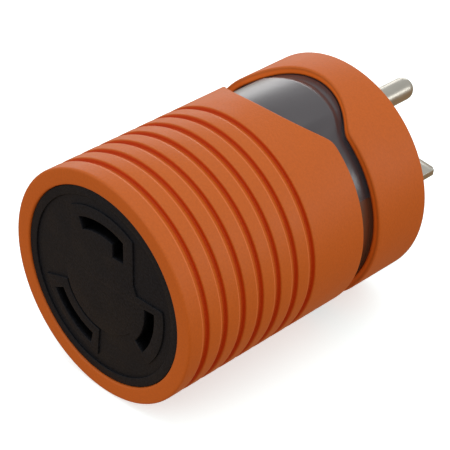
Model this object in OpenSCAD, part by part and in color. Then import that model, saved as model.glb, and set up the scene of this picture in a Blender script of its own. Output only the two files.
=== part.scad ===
// Cordless barrel power adapter: curved-slot locking receptacle at one end,
// straight-blade plug with a round ground pin at the other, and a smoked
// indicator window between the two orange shells.
//
// The barrel lies on its side along +Y with the plug at +Y and the window on
// top. Every module draws its piece on the barrel's own axis: X to the right,
// Y up and Z from the receptacle end to the plug end. place() then lays it down.

/* [Barrel] */
// Outside diameter of the orange shells
barrel_d = 46.8; // [46:0.2:50]
// Length of the body without the pins
body_len = 63.6; // [63:0.2:66]
// Thickness of the orange shells over the smoked body
skin_t = 1.5; // [1.3:0.1:1.5]
// Wall of the smoked body
lens_t = 2.5; // [2.3:0.1:2.5]
// Chamfer at the receptacle end
front_chamfer = 0.5; // [0.2:0.1:0.8]
// Chamfer at the plug end
rear_chamfer = 0.7; // [0.2:0.1:0.8]

/* [Grip grooves] */
// Number of grooves round the front shell
groove_count = 7; // [3:1:7]
// Distance from one groove to the next
groove_pitch = 4.52; // [4:0.02:4.6]
// Front edge of the first groove
groove_start = 3.2; // [2.5:0.1:3.6]
// Width of a groove at the surface
groove_w = 1.8; // [1.2:0.1:2]
// Depth of a groove
groove_depth = 0.8; // [0.4:0.1:1]

/* [Window] */
// Depth of the window's glass below the shells
pad_depth = 1.1; // [0.9:0.1:1.4]
// Depth of the channel between the two shells
channel_depth = 2.1; // [1.7:0.1:2.2]
// Rear edge of the front shell, away from the window
sleeve_len = 45.6; // [44:0.2:46]
// Front edge of the rear shell, away from the window
collar_start = 49.9; // [48:0.1:51]
// How far the window dips into the front shell
window_front = 6.4; // [4:0.2:7]
// How far the window rises into the rear shell
window_rear = 6.1; // [3:0.1:6.4]
// Angle from the top to each end of the window
window_half_angle = 37; // [25:1:40]

/* [Receptacle] */
// Radius of the black receptacle face
face_r = 19.95; // [19.8:0.05:20]
// Depth of the face below the orange lip
face_recess = 0.35; // [0.2:0.05:0.6]
// Height of the raised rim and pads on the face
face_relief = 0.35; // [0.2:0.05:0.5]
// Inner radius of the raised rim
rim_r = 18.2; // [17.5:0.1:18.8]
// Inner radius of the ground and neutral slots
slot_r = 11.4; // [11.2:0.1:11.6]
// Width of every slot
slot_w = 2.5; // [2.2:0.1:2.6]
// Extra radius of the hot slot
hot_slot_shift = 0.8; // [0:0.1:1]
// Middle of the ground slot
ground_slot_mid = 89; // [87:1:91]
// Middle of the neutral slot
neutral_slot_mid = -17; // [-20:1:-15]
// Middle of the hot slot
hot_slot_mid = 232; // [230:1:234]

/* [Plug] */
// Radius of the round ground pin
ground_pin_r = 2.38; // [2.3:0.02:2.42]
// Length of the ground pin beyond the body
ground_pin_len = 20.2; // [18:0.1:22]
// Height of the ground pin above the barrel axis
ground_pin_y = 10.5; // [10:0.1:11]
// Distance from the ground pin down to the line of the blades
blade_drop = 11.9; // [11:0.1:12.4]
// Width of a blade
blade_w = 6.35; // [6:0.05:6.5]
// Thickness of a blade
blade_t = 1.52; // [1.4:0.02:1.6]
// Length of a blade beyond the body
blade_len = 16.1; // [14:0.1:18]
// Distance from the axis to the upright hot blade
hot_blade_x = 6.35; // [6:0.05:6.5]
// Distance from the axis to the middle of the flat neutral blade
neutral_blade_x = 10.4; // [9.5:0.1:10.4]
// Turn of the plug about the barrel axis against the window
plug_turn = -6.5; // [-8:0.5:0]

/* [Hidden] */
$fn = 96;

// A cutter runs this far past the face it cuts
over = 1;
// Gap between two parts of the body that only touch
touch_gap = 0.1;
// Gap between the window's pad and the shells
pad_gap = 0.15;
// Gap round a blade or pin in its hole
hole_gap = 0.07;

barrel_r = barrel_d / 2;
overall_len = body_len + ground_pin_len;

// Radii of the nested tubes, from the outside in
skin_bore_r = barrel_r - skin_t;
lens_r = skin_bore_r - touch_gap;
lens_bore_r = lens_r - lens_t;
core_r = lens_bore_r - 0.2;

// Stations along the barrel
lip_depth = 3.1;
face_back = 7;
base_front = face_back + 0.05;
pocket_floor = 22;
base_back = 24;
insert_front = 55;
retainer_back = insert_front - 0.1;
retainer_front = retainer_back - 5.4;
shoulder_front = retainer_back - 2.4;
collar_lip = 3;

// Contacts: a brass carrier outside the blade and a bronze leaf inside it
contact_front = 8;
contact_back = 21;
carrier_t = 0.9;
carrier_bite = 0.3;
web_t = 1;
leaf_t = 0.6;
leaf_bite = 0.5;
leaf_root = contact_back - web_t - 0.3;
roll_r = 0.45;
roll_gap = 0.05;
roll_len = 4.6;
pocket_side = 5;
pocket_inner = 1.9;
pocket_outer = 1;
tail_r = 11;
tail_w = 5;
tail_tip_w = 2.4;
tail_shoulder = 27;
tail_end = 30;

slot_half = 22;
ground_slot_half = 25.5;
hot_slot_half = 24.5;
// The ground slot turns inwards at its right end
hook_x = [3.2, 6];
hook_bottom = 8.2;

// Wires and their crimped ends
wire_r = 1.7;
crimp_r = 2.35;
crimp_bore_r = 1.78;
crimp_len = 4.5;
crimp_bite = 2;
crimp_front = tail_shoulder + 1;
crimp_rear = 42.5;
wire_front = crimp_front + crimp_len - crimp_bite;
wire_rear = crimp_rear + crimp_bite;
blade_tail_tip = crimp_rear + crimp_len - crimp_bite;
blade_tail_shoulder = crimp_rear + crimp_len + 0.5;

// Screws
screw_r = 1.45;
screw_hole_r = 1.55;
screw_head_r = 2.7;
screw_head_h = 1.9;
face_screw_places = [for (a = [30, 130, 272]) polar(13.2, a)];
tie_places = [polar(13.2, 178), polar(13.2, 302)];
retainer_screw_places = [polar(15, 45), polar(15, 250)];
post_r = 3;

// Indicator board, held in a groove at each end
board_w = 12;
board_t = 1.6;
board_y = 13.45;
board_top = board_y + board_t;
board_front = base_back - 1.3;
board_back = retainer_front + 1.3;
board_groove_gap = 0.15;
lamp_r = 1.5;
lamp_flange_r = 1.9;
lamp_flange_h = 0.8;
lamp_straight = 1;
lamp_places = [41.5, 47];
lead_r = 0.5;
lead_x = 4.5;
lead_z = 44;

// Plug: where each pin crosses the plug face
blade_y = ground_pin_y - blade_drop;
ground_at = spin([0, ground_pin_y]);
neutral_at = spin([neutral_blade_x, blade_y]);
hot_at = spin([-hot_blade_x, blade_y]);
tip_bevel = 0.45;
tip_corner = 1;
shoulder_extra = 1.4;
pin_flange_r = 3.8;
pin_root_r = 2.7;

function polar(r, a) = [r * cos(a), r * sin(a)];
function spin(p) = [
    p[0] * cos(plug_turn) - p[1] * sin(plug_turn),
    p[0] * sin(plug_turn) + p[1] * cos(plug_turn)
];
function up(p, z) = [p[0], p[1], z];
function unit(v) = v / norm(v);

// Point at t, from 0 to 1, of a Bezier curve whose ends both point along d
function s_curve(p, q, d, reach, t) =
    pow(1 - t, 3) * p + 3 * t * pow(1 - t, 2) * (p + reach * d)
    + 3 * pow(t, 2) * (1 - t) * (q - reach * d) + pow(t, 3) * q;

// Height of the window's edge over its ends, from 0 there to 1 at the top
function window_rise(a) = 1 - pow(abs(a) / window_half_angle, 2.1);

// One edge of the window between two angles from the top, seen from above
function window_curve(edge, reach, half) = [
    for (i = [-12 : 12])
        let (a = i * half / 12)
        [barrel_r * sin(a), edge + reach * window_rise(a)]
];

// Swaps Y and Z, which is its own opposite
module swap_yz() {
    rotate([90, 0, 0]) mirror([0, 0, 1]) children();
}

// Lays a piece drawn on the barrel's axis down on the ground, over the origin
module place() {
    translate([0, -overall_len / 2, barrel_r]) swap_yz() children();
}

module at_plug() {
    rotate([0, 0, plug_turn]) children();
}

module bar(r, z0, z1) {
    translate([0, 0, z0]) cylinder(h = z1 - z0, r = r);
}

module ring(r0, r1, z0, z1) {
    difference() {
        bar(r1, z0, z1);
        bar(r0, z0 - over, z1 + over);
    }
}

module block(x, y, z) {
    translate([x[0], y[0], z[0]]) cube([x[1] - x[0], y[1] - y[0], z[1] - z[0]]);
}

module wedge(a0, a1, z0, z1) {
    reach = 2 * barrel_r;
    translate([0, 0, z0]) linear_extrude(z1 - z0)
        polygon([[0, 0], polar(reach, a0), polar(reach, (a0 + a1) / 2), polar(reach, a1)]);
}

// Part of a ring between two angles
module sector(r0, r1, a0, a1, z0, z1) {
    intersection() {
        ring(r0, r1, z0, z1);
        wedge(a0, a1, z0 - over, z1 + over);
    }
}

// Wire from p to q along the direction d: a straight stub at each end, an S curve between
module wire(p, q, d, r, stub) {
    rings = 14;
    sides = 12;
    bend_front = p + stub * d;
    bend_rear = q - stub * d;
    bends = rings - 2;
    reach = 0.55 * (bend_rear - bend_front) * d;
    curve = [
        for (i = [0 : bends]) s_curve(bend_front, bend_rear, d, reach, i / bends)
    ];
    path = concat([p], curve, [q]);
    // Direction square to the plane of the curve
    flat = unit(cross(d, q - p));
    verts = [
        for (i = [0 : rings])
            let (ahead = unit(path[min(i + 1, rings)] - path[max(i - 1, 0)]))
            let (t = i == 0 || i == rings ? d : ahead)
            let (side = cross(t, flat))
            for (j = [0 : sides - 1])
                path[i] + r * (cos(j * 360 / sides) * flat + sin(j * 360 / sides) * side)
    ];
    walls = [
        for (i = [0 : rings - 1])
            for (j = [0 : sides - 1])
                let (k = (j + 1) % sides)
                [i * sides + j, i * sides + k, (i + 1) * sides + k, (i + 1) * sides + j]
    ];
    front = [for (j = [0 : sides - 1]) sides - 1 - j];
    back = [for (j = [0 : sides - 1]) rings * sides + j];
    polyhedron(verts, concat([front], walls, [back]));
}

module screw(place_xy, head_z, tip_z) {
    translate(up(place_xy, 0)) {
        side = sign(head_z - tip_z);
        bar(screw_r, min(tip_z, head_z), max(tip_z, head_z));
        difference() {
            bar(screw_head_r, min(head_z, head_z + side * screw_head_h),
                max(head_z, head_z + side * screw_head_h));
            head_top = head_z + side * screw_head_h;
            for (a = [0, 90]) rotate([0, 0, a])
                block([-1.6, 1.6], [-0.3, 0.3], [head_top - 0.9, head_top + 0.9]);
        }
    }
}

// ---- Shells ---------------------------------------------------------------

// Tube with chamfered outside corners
module shell(z0, z1, c0, c1) {
    rotate_extrude() polygon([
        [skin_bore_r, z0], [barrel_r - c0, z0], [barrel_r, z0 + c0],
        [barrel_r, z1 - c1], [barrel_r - c1, z1], [skin_bore_r, z1]
    ]);
}

// One groove: a slope down from its front edge and a steep wall behind
module groove(z) {
    rotate_extrude() polygon([
        [barrel_r + over, z - over * 1.3], [barrel_r - groove_depth, z + groove_w * 0.55],
        [barrel_r - groove_depth, z + groove_w * 0.95], [barrel_r + over, z + groove_w * 1.06]
    ]);
}

// Upright prism whose curved side is one edge of the window
module window_cutter(edge, reach) {
    side = sign(reach);
    curve = window_curve(edge, reach, window_half_angle);
    swap_yz() translate([0, 0, barrel_r / 2]) linear_extrude(barrel_r)
        polygon(concat(
            curve,
            [[curve[24][0], edge - side * over], [curve[0][0], edge - side * over]]
        ));
}

module grip_sleeve() {
    color([0.75, 0.38, 0.2]) place() difference() {
        union() {
            shell(0, sleeve_len, front_chamfer, 0.25);
            ring(face_r + touch_gap, skin_bore_r + 0.5, 0, lip_depth);
        }
        for (i = [0 : groove_count - 1]) groove(groove_start + i * groove_pitch);
        window_cutter(sleeve_len, -window_front);
    }
}

module rear_collar() {
    color([0.75, 0.38, 0.2]) place() difference() {
        union() {
            shell(collar_start, body_len, 0.25, rear_chamfer);
            ring(core_r + touch_gap, skin_bore_r + 0.5, body_len - collar_lip, body_len);
        }
        window_cutter(collar_start, window_rear);
    }
}

// Upright prism that fills the window but for a small gap at each shell
module window_filler() {
    half = window_half_angle - 3;
    front = window_curve(sleeve_len + pad_gap, -window_front, half);
    rear = window_curve(collar_start - pad_gap, window_rear, half);
    swap_yz() translate([0, 0, barrel_r / 2]) linear_extrude(barrel_r)
        polygon(concat(front, [for (i = [24 : -1 : 0]) rear[i]]));
}

// Tube with a channel between the shells and a raised pad in the window
module lens_body() {
    color([0.4, 0.38, 0.42, 0.6]) place() {
        difference() {
            ring(lens_bore_r, lens_r, lip_depth + touch_gap, body_len - collar_lip - touch_gap);
            ring(barrel_r - channel_depth, barrel_r, sleeve_len, collar_start);
        }
        intersection() {
            ring(barrel_r - channel_depth - 0.4, barrel_r - pad_depth,
                sleeve_len - window_front - over, collar_start + window_rear + over);
            window_filler();
        }
    }
}

// ---- Receptacle -----------------------------------------------------------

// Ground slot, or its pocket when grown by a margin
module ground_slot(grow, z0, z1) {
    intersection() {
        sector(slot_r - grow, slot_r + slot_w + grow, ground_slot_mid - ground_slot_half - 5,
            ground_slot_mid + ground_slot_half + grow * 2, z0, z1);
        block([-barrel_r, hook_x[1] + grow], [0, barrel_r], [z0 - over, z1 + over]);
    }
    block([hook_x[0] - grow, hook_x[1] + grow], [hook_bottom - grow, slot_r + 1], [z0, z1]);
}

module face_pads(z0, z1) {
    intersection() {
        ring(9.7, 16.3, z0, z1);
        block([-8, 8.5], [6, barrel_r], [z0 - over, z1 + over]);
    }
    intersection() {
        sector(9.7, 15.8, -42, 20, z0, z1);
        block([0, barrel_r], [-barrel_r, 2.8], [z0 - over, z1 + over]);
    }
    sector(9.7, rim_r + 0.5, 198, 266, z0, z1);
}

module receptacle_face() {
    face_top = face_recess;
    floor_z = face_recess + face_relief;
    color([0.16, 0.155, 0.16]) place() difference() {
        union() {
            bar(face_r, floor_z, lip_depth);
            bar(core_r, lip_depth - over, face_back);
            ring(rim_r, face_r, face_top, floor_z + 0.5);
            face_pads(face_top, floor_z + 0.5);
        }
        ground_slot(0, -over, face_back + over);
        sector(slot_r, slot_r + slot_w, neutral_slot_mid - slot_half,
            neutral_slot_mid + slot_half, -over, face_back + over);
        sector(slot_r + hot_slot_shift, slot_r + slot_w + hot_slot_shift,
            hot_slot_mid - hot_slot_half, hot_slot_mid + hot_slot_half, -over, face_back + over);
        for (p = face_screw_places) translate(up(p, 3)) cylinder(h = 10, r = screw_r);
    }
}

// Pocket behind a plain slot, open to the front
module pocket(r, mid, half) {
    sector(r - pocket_inner, r + slot_w + pocket_outer, mid - half - pocket_side,
        mid + half + pocket_side, base_front - over, pocket_floor);
}

// Opening in the pocket floor for a contact's tail
module tail_hole(mid) {
    rotate([0, 0, mid])
        block([tail_r - 0.6, tail_r + 0.6], [-tail_w / 2 - 0.2, tail_w / 2 + 0.2],
            [pocket_floor - over, base_back + over]);
}

module board_groove(z0, z1) {
    block([-board_w / 2 - board_groove_gap, board_w / 2 + board_groove_gap],
        [board_y - board_groove_gap, board_top + board_groove_gap], [z0, z1]);
}

module receptacle_base() {
    color([0.2, 0.19, 0.2]) place() difference() {
        bar(core_r, base_front, base_back);
        ground_slot(1.1, base_front - over, pocket_floor);
        pocket(slot_r, neutral_slot_mid, slot_half);
        pocket(slot_r + hot_slot_shift, hot_slot_mid, hot_slot_half);
        for (mid = [ground_slot_mid, neutral_slot_mid, hot_slot_mid]) tail_hole(mid);
        for (p = face_screw_places) translate(up(p, 0)) {
            bar(screw_hole_r, base_front - over, base_back + over);
            bar(screw_head_r + 0.2, base_back - screw_head_h - 0.3, base_back + over);
        }
        for (p = tie_places) translate(up(p, base_back - 9)) cylinder(h = 10, r = screw_r);
        board_groove(board_front - 0.2, base_back + over);
    }
}

// Round bar across a contact, on the line that its leaf turns about
module roll(r, mid, bar_r, len) {
    rotate([0, 0, mid]) translate([r + leaf_bite - leaf_t / 2, 0, leaf_root])
        rotate([90, 0, 0]) cylinder(h = len, r = bar_r, center = true);
}

// Fixed half of a contact: curved outer wall, back web with a round seat, and crimp tail
module contact(r, mid, half) {
    wall_r = r + slot_w - carrier_bite;
    difference() {
        contact_blank(r, mid, half, wall_r);
        roll(r, mid, roll_r + roll_gap, tail_w + 2 * over);
    }
}

module contact_blank(r, mid, half, wall_r) {
    sector(wall_r, wall_r + carrier_t, mid - half, mid + half, contact_front, contact_back);
    rotate([0, 0, mid]) {
        block([tail_r - carrier_t / 2, wall_r + carrier_t / 2], [-tail_w / 2, tail_w / 2],
            [contact_back - web_t, contact_back]);
        block([tail_r - carrier_t / 2, tail_r + carrier_t / 2], [-tail_w / 2, tail_w / 2],
            [contact_back - web_t / 2, tail_shoulder]);
        block([tail_r - carrier_t / 2, tail_r + carrier_t / 2], [-tail_tip_w / 2, tail_tip_w / 2],
            [tail_shoulder - 0.5, tail_end]);
    }
}

module ground_contact() {
    color([0.72, 0.58, 0.3]) place() contact(slot_r, ground_slot_mid, ground_slot_half - 2);
}

module neutral_contact() {
    color([0.72, 0.58, 0.3]) place() contact(slot_r, neutral_slot_mid, slot_half);
}

module hot_contact() {
    color([0.72, 0.58, 0.3]) place()
        contact(slot_r + hot_slot_shift, hot_slot_mid, hot_slot_half);
}

// Spring half of a contact: a curved strip with a rolled root that turns in the web's seat
module leaf(r, mid, a0, a1) {
    outer = r + leaf_bite;
    sector(outer - leaf_t, outer, a0, a1, contact_front + 0.5, leaf_root);
    roll(r, mid, roll_r, roll_len);
}

module ground_leaf() {
    color([0.72, 0.5, 0.32]) place() leaf(slot_r, ground_slot_mid, 80, 112);
}

module neutral_leaf() {
    color([0.72, 0.5, 0.32]) place()
        leaf(slot_r, neutral_slot_mid, neutral_slot_mid - 18, neutral_slot_mid + 18);
}

module hot_leaf() {
    color([0.72, 0.5, 0.32]) place()
        leaf(slot_r + hot_slot_shift, hot_slot_mid, hot_slot_mid - 20, hot_slot_mid + 20);
}

module face_screws() {
    color([0.7, 0.7, 0.68]) place()
        for (p = face_screw_places) screw(p, base_back - screw_head_h - 0.1, face_back - 3.5);
}

// ---- Plug -----------------------------------------------------------------

module blade_hole(at, w, t, z0, z1) {
    translate(up(at, 0)) block([-w / 2 - hole_gap, w / 2 + hole_gap],
        [-t / 2 - hole_gap, t / 2 + hole_gap], [z0, z1]);
}

// Holes for the pin and both blades, in the plug's own turn
module pin_holes(extra, z0, z1) {
    at_plug() {
        translate([0, ground_pin_y, 0])
            bar((extra > 0 ? pin_flange_r : pin_root_r) + hole_gap, z0, z1);
        blade_hole([neutral_blade_x, blade_y], blade_w + 2 * extra, blade_t, z0, z1);
        blade_hole([-hot_blade_x, blade_y], blade_t, blade_w + 2 * extra, z0, z1);
    }
}

module plug_insert() {
    color([0.16, 0.155, 0.16]) place() difference() {
        bar(core_r, insert_front, body_len);
        pin_holes(0, insert_front - over, body_len + over);
        for (p = retainer_screw_places) translate(up(p, insert_front - over))
            cylinder(h = 6, r = screw_r);
    }
}

module plug_retainer() {
    color([0.2, 0.19, 0.2]) place() difference() {
        bar(core_r, retainer_front, retainer_back);
        pin_holes(shoulder_extra, shoulder_front - 0.05, retainer_back + over);
        pin_holes(0, retainer_front - over, retainer_back);
        for (p = retainer_screw_places) translate(up(p, 0)) {
            bar(screw_hole_r, retainer_front - over, retainer_back + over);
            bar(screw_head_r + 0.2, retainer_front - over, retainer_front + screw_head_h + 0.2);
        }
        for (p = tie_places) translate(up(p, 0)) {
            bar(screw_hole_r, retainer_front - over, retainer_back + over);
            bar(screw_head_r + 0.2, retainer_back - screw_head_h - 0.2, retainer_back + over);
        }
        board_groove(retainer_front - over, board_back + 0.2);
    }
}

module retainer_screws() {
    color([0.7, 0.7, 0.68]) place()
        for (p = retainer_screw_places) screw(p, retainer_front + screw_head_h, insert_front + 4);
}

// Round pin with a domed end, a thicker root, a flange behind the insert and a crimp tail
module ground_pin() {
    color([0.72, 0.7, 0.64]) place() at_plug() translate([0, ground_pin_y, 0]) {
        bar(ground_pin_r, shoulder_front, overall_len - ground_pin_r);
        translate([0, 0, overall_len - ground_pin_r]) sphere(r = ground_pin_r);
        bar(pin_root_r, shoulder_front, body_len);
        bar(pin_flange_r, shoulder_front, retainer_back);
        bar(ground_pin_r, blade_tail_shoulder, shoulder_front + 0.5);
        bar(tail_tip_w / 2, blade_tail_tip, blade_tail_shoulder + 0.5);
    }
}

// Flat blade drawn wide along X: beveled tip, shoulders and a crimp tail
module blade() {
    tip = body_len + blade_len;
    intersection() {
        block([-blade_w / 2, blade_w / 2], [-blade_t / 2, blade_t / 2], [shoulder_front, tip]);
        swap_yz() translate([0, 0, -blade_t]) linear_extrude(2 * blade_t) polygon([
            [-blade_w / 2, 0], [blade_w / 2, 0], [blade_w / 2, tip - tip_corner],
            [blade_w / 2 - tip_corner, tip], [tip_corner - blade_w / 2, tip],
            [-blade_w / 2, tip - tip_corner]
        ]);
        rotate([90, 0, 90]) translate([0, 0, -blade_w]) linear_extrude(2 * blade_w) polygon([
            [-blade_t / 2, 0], [blade_t / 2, 0], [blade_t / 2, tip - 2 * tip_bevel],
            [blade_t / 2 - tip_bevel, tip], [tip_bevel - blade_t / 2, tip],
            [-blade_t / 2, tip - 2 * tip_bevel]
        ]);
    }
    block([-blade_w / 2 - shoulder_extra, blade_w / 2 + shoulder_extra],
        [-blade_t / 2, blade_t / 2], [shoulder_front, retainer_back]);
    block([-blade_w / 2, blade_w / 2], [-blade_t / 2, blade_t / 2],
        [blade_tail_shoulder, shoulder_front + 0.5]);
    block([-tail_tip_w / 2, tail_tip_w / 2], [-blade_t / 2, blade_t / 2],
        [blade_tail_tip, blade_tail_shoulder + 0.5]);
}

module neutral_blade() {
    color([0.72, 0.7, 0.64]) place() at_plug() translate([neutral_blade_x, blade_y, 0]) blade();
}

module hot_blade() {
    color([0.72, 0.7, 0.64]) place() at_plug() translate([-hot_blade_x, blade_y, 0])
        rotate([0, 0, 90]) blade();
}

// ---- Frame between the two ends -------------------------------------------

module tie_posts() {
    color([0.82, 0.82, 0.78]) place() for (p = tie_places) translate(up(p, 0))
        ring(screw_hole_r, post_r, base_back + touch_gap, retainer_front - touch_gap);
}

module tie_screws() {
    color([0.7, 0.7, 0.68]) place()
        for (p = tie_places) screw(p, retainer_back - screw_head_h - 0.1, base_back - 8);
}

// ---- Wiring ---------------------------------------------------------------

// From a contact's tail to a pin's tail
module jumper(from, to) {
    wire(up(from, wire_front), up(to, wire_rear), [0, 0, 1], wire_r, crimp_bite + 0.2);
}

module ground_wire() {
    color([0.1, 0.42, 0.2]) place() jumper(polar(tail_r, ground_slot_mid), ground_at);
}

module neutral_wire() {
    color([0.88, 0.88, 0.86]) place() jumper(polar(tail_r, neutral_slot_mid), neutral_at);
}

module hot_wire() {
    color([0.07, 0.07, 0.075]) place() jumper(polar(tail_r, hot_slot_mid), hot_at);
}

module wire_crimps() {
    color([0.78, 0.78, 0.76]) place() {
        for (a = [ground_slot_mid, neutral_slot_mid, hot_slot_mid])
            translate(up(polar(tail_r, a), 0))
                ring(crimp_bore_r, crimp_r, crimp_front, crimp_front + crimp_len);
        for (p = [ground_at, neutral_at, hot_at])
            translate(up(p, 0)) ring(crimp_bore_r, crimp_r, crimp_rear, crimp_rear + crimp_len);
    }
}

// ---- Indicator ------------------------------------------------------------

module indicator_board() {
    color([0.1, 0.35, 0.2]) place() difference() {
        block([-board_w / 2, board_w / 2], [board_y, board_top], [board_front, board_back]);
        for (x = [-lead_x, lead_x]) translate([x, board_y - over, lead_z])
            rotate([-90, 0, 0]) cylinder(h = board_t + 2 * over, r = lead_r + 0.1);
    }
}

module indicator_lamps() {
    color([0.85, 0.25, 0.18, 0.8]) place() for (z = lamp_places)
        translate([0, board_top + 0.02, z]) rotate([-90, 0, 0]) {
            cylinder(h = lamp_flange_h, r = lamp_flange_r);
            cylinder(h = lamp_flange_h + lamp_straight, r = lamp_r);
            translate([0, 0, lamp_flange_h + lamp_straight]) sphere(r = lamp_r);
        }
}

// Small axial part lying on the board, with its two leads
module axial_part(x, z, body_r, body_len_z) {
    y = board_top + body_r + 0.1;
    translate([x, y, 0]) {
        bar(body_r, z - body_len_z / 2, z + body_len_z / 2);
        bar(0.3, z - body_len_z / 2 - 1.5, z + body_len_z / 2 + 1.5);
    }
    for (side = [-1, 1]) translate([x, board_top + 0.02, z + side * (body_len_z / 2 + 1.5)])
        rotate([-90, 0, 0]) cylinder(h = body_r + 0.08, r = 0.3);
}

module ballast_resistor() {
    color([0.8, 0.7, 0.5]) place() axial_part(-3.2, 33, 1.2, 6.4);
}

module rectifier_diode() {
    color([0.1, 0.1, 0.1]) place() axial_part(3.2, 33, 1.3, 5.2);
}

// Thin leads from the board down to the hot and neutral crimps
module lamp_leads() {
    above = [0, crimp_r + 0.05];
    color([0.6, 0.1, 0.08]) place() {
        wire([-lead_x, board_y - 0.1, lead_z], up(hot_at + above, lead_z), [0, -1, 0], lead_r, 0.4);
        wire([lead_x, board_y - 0.1, lead_z], up(neutral_at + above, lead_z), [0, -1, 0], lead_r,
            0.4);
    }
}

grip_sleeve();
rear_collar();
lens_body();
receptacle_face();
receptacle_base();
ground_contact();
neutral_contact();
hot_contact();
ground_leaf();
neutral_leaf();
hot_leaf();
face_screws();
plug_insert();
plug_retainer();
retainer_screws();
ground_pin();
neutral_blade();
hot_blade();
tie_posts();
tie_screws();
ground_wire();
neutral_wire();
hot_wire();
wire_crimps();
indicator_board();
indicator_lamps();
ballast_resistor();
rectifier_diode();
lamp_leads();
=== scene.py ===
"""Looks of a cordless barrel power adapter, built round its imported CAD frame."""

import math

import bmesh
import bpy
from bpy.props import FloatProperty, FloatVectorProperty, IntProperty, PointerProperty
from mathutils import Matrix, Vector


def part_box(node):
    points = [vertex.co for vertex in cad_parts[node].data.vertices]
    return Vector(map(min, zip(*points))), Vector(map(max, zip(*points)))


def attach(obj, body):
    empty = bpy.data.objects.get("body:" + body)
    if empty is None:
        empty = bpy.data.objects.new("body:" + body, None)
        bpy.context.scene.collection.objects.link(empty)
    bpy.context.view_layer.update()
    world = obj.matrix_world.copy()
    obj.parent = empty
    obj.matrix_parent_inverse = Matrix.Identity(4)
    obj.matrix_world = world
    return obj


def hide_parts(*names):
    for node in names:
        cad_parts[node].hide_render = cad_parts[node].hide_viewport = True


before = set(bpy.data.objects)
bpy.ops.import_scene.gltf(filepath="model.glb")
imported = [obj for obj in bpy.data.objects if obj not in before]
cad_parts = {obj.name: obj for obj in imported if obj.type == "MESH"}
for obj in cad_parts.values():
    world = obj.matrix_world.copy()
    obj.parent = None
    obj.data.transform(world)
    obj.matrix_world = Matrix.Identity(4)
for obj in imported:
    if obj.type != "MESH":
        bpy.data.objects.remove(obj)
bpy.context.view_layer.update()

bl_info = {
    "name": "Barrel Power Adapter",
    "version": (1, 0, 0),
    "blender": (4, 5, 0),
    "location": "View3D > Sidebar > Adapter",
    "description": "Builds the shells, window, receptacle, plug and stage of a barrel power adapter",
    "category": "Add Mesh",
}

MM = 0.001
BODY = "body"

# Driving sizes read off the CAD frame, in metres
SLEEVE_LOW, SLEEVE_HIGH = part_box("grip_sleeve")
COLLAR_LOW, COLLAR_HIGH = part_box("rear_collar")
LENS_LOW, LENS_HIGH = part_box("lens_body")
FACE_LOW, FACE_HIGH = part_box("receptacle_face")
INSERT_LOW, INSERT_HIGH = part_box("plug_insert")
PIN_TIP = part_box("ground_pin")[1].y
FRONT = SLEEVE_LOW.y
REAR = COLLAR_HIGH.y
BARREL_R = SLEEVE_HIGH.x
AXIS_Z = (SLEEVE_LOW.z + SLEEVE_HIGH.z) / 2
LENS_R = LENS_HIGH.x
PAD_R = LENS_HIGH.z - AXIS_Z
FACE_R = FACE_HIGH.x
CORE_R = INSERT_HIGH.x
TOUCH = 0.1 * MM
SKIN = BARREL_R - LENS_R - TOUCH
PLUG_TURN = math.radians(-6.5)

# Middle and half span of each slot round the face, in degrees from the right
GROUND_SLOT = (89, 25.5)
NEUTRAL_SLOT = (-17, 22)
HOT_SLOT = (232, 24.5)
# Where the hot slot's raised pad starts and ends, in degrees
HOT_PAD = (197, 264.5)

# Columns round a shell: fine enough for the window's edge
COLUMNS = 360


# ---- Colour and nodes -------------------------------------------------------


def linear(hex_code):
    """Turns an sRGB hex colour into linear red, green, blue."""
    parts = [int(hex_code[i:i + 2], 16) / 255 for i in (1, 3, 5)]
    return [c / 12.92 if c <= 0.04045 else ((c + 0.055) / 1.055) ** 2.4 for c in parts]


def shade(colour, factor=1.0):
    """A linear colour made darker or lighter, with full alpha."""
    return (*(min(1.0, c * factor) for c in colour), 1.0)


def per_size(size_mm):
    """Texture scale that gives features of this size."""
    return 1 / (size_mm * MM)


def add_node(tree, kind, inputs=None, output=None, **settings):
    """Adds a node with its settings; an input is a value, or a socket to link from.

    Gives the node, or one of its outputs.
    """
    node = tree.nodes.new(kind)
    for name, value in settings.items():
        setattr(node, name, value)
    for name, value in (inputs or {}).items():
        if isinstance(value, bpy.types.NodeSocket):
            tree.links.new(value, node.inputs[name])
        else:
            node.inputs[name].default_value = value
    return node if output is None else node.outputs[output]


def new_material(name):
    """An empty material, its node tree and the object's own coordinates in it."""
    material = bpy.data.materials.new(name)
    material.use_nodes = True
    tree = material.node_tree
    tree.nodes.clear()
    return material, tree, add_node(tree, "ShaderNodeTexCoord", output="Object")


def finish_material(material, tree, height, relief_mm, inputs):
    """Puts a Principled shader on the output, with a bump whose full height is a real size."""
    normal = add_node(tree, "ShaderNodeBump", {
        "Height": height, "Distance": relief_mm * MM, "Strength": 1.0,
    }, "Normal")
    shader = add_node(tree, "ShaderNodeBsdfPrincipled", {**inputs, "Normal": normal}, "BSDF")
    add_node(tree, "ShaderNodeOutputMaterial", {"Surface": shader})
    return material


def patches(tree, where, size_mm, detail, colour, dark, light):
    """Soft pattern of a real size, and a colour that it makes darker and lighter."""
    pattern = add_node(tree, "ShaderNodeTexNoise", {
        "Vector": where, "Scale": per_size(size_mm), "Detail": detail,
    }, "Fac")
    tone = add_node(tree, "ShaderNodeMix", {
        0: pattern, 6: shade(colour, dark), 7: shade(colour, light),
    }, 2, data_type="RGBA")
    return pattern, tone


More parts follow.
